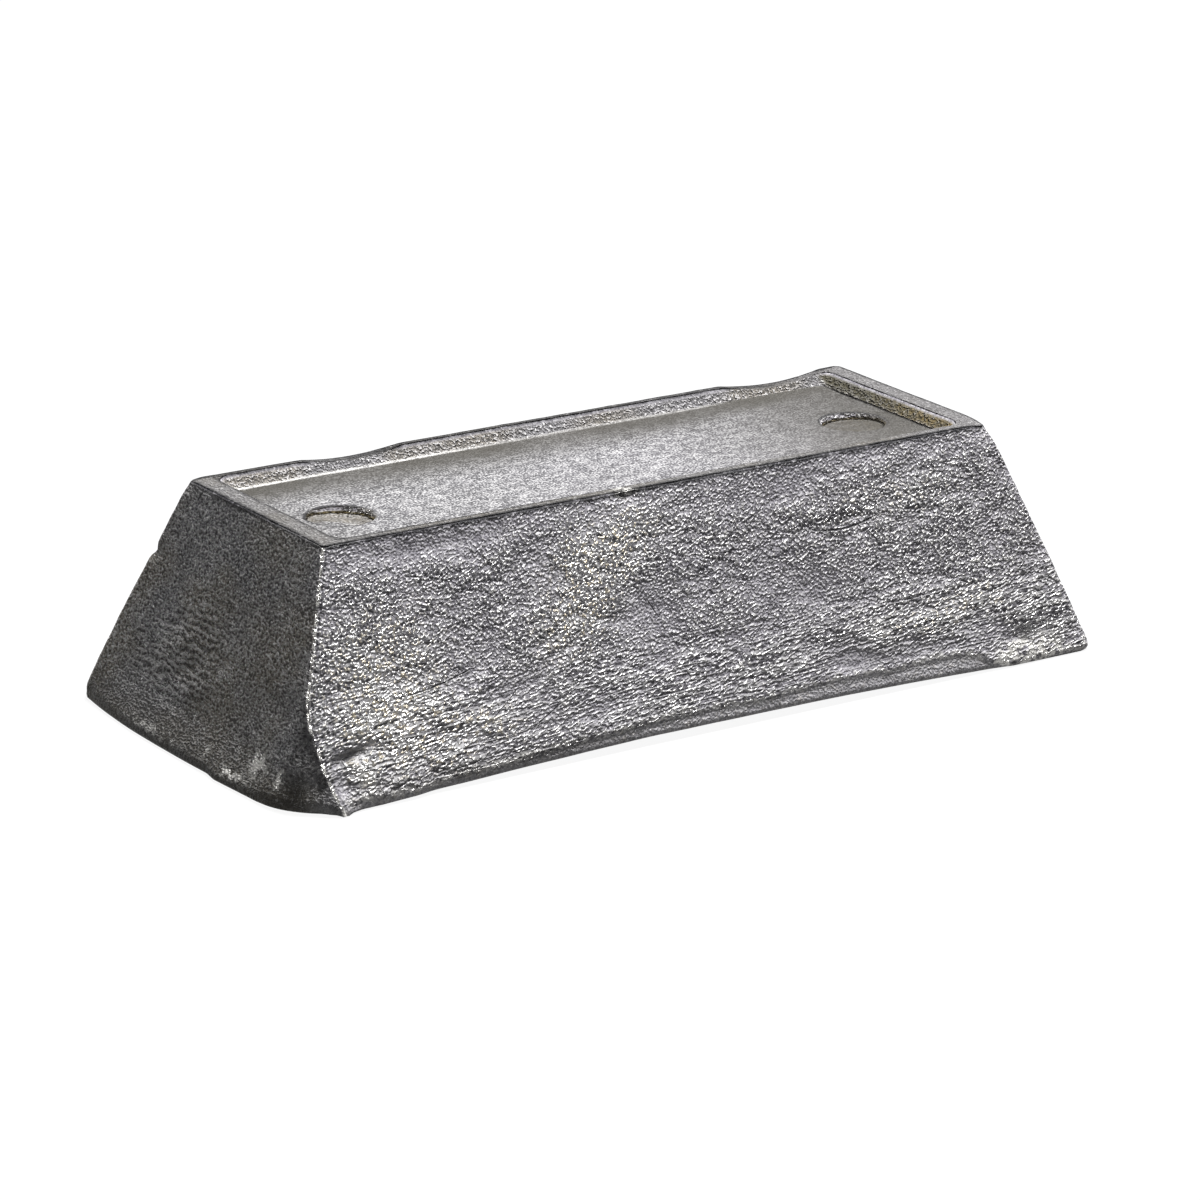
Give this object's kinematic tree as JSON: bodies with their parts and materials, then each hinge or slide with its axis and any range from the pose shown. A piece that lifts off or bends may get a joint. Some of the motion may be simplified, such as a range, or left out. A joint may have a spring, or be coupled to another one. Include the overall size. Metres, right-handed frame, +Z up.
{
  "type": "metal ingot",
  "caption": "Cast solder-metal ingot with drafted sides, a sunk top panel with round marks inside a rim, and a slightly hollow base to rest on.",
  "frame": {"origin": "centre of the base outline, on the floor that the ingot rests on", "axes": "+X along the length, away from the corner that is drawn back; +Y to the back, where the rim dips; +Z up"},
  "size_m": [0.148, 0.0664, 0.0365],
  "materials": {
    "cast_lead_alloy": "dull grey as-cast skin, grainy, with bright scuffs"
  },
  "bodies": {
    "root": {"ingot": "cast_lead_alloy"}
  },
  "joints": []
}
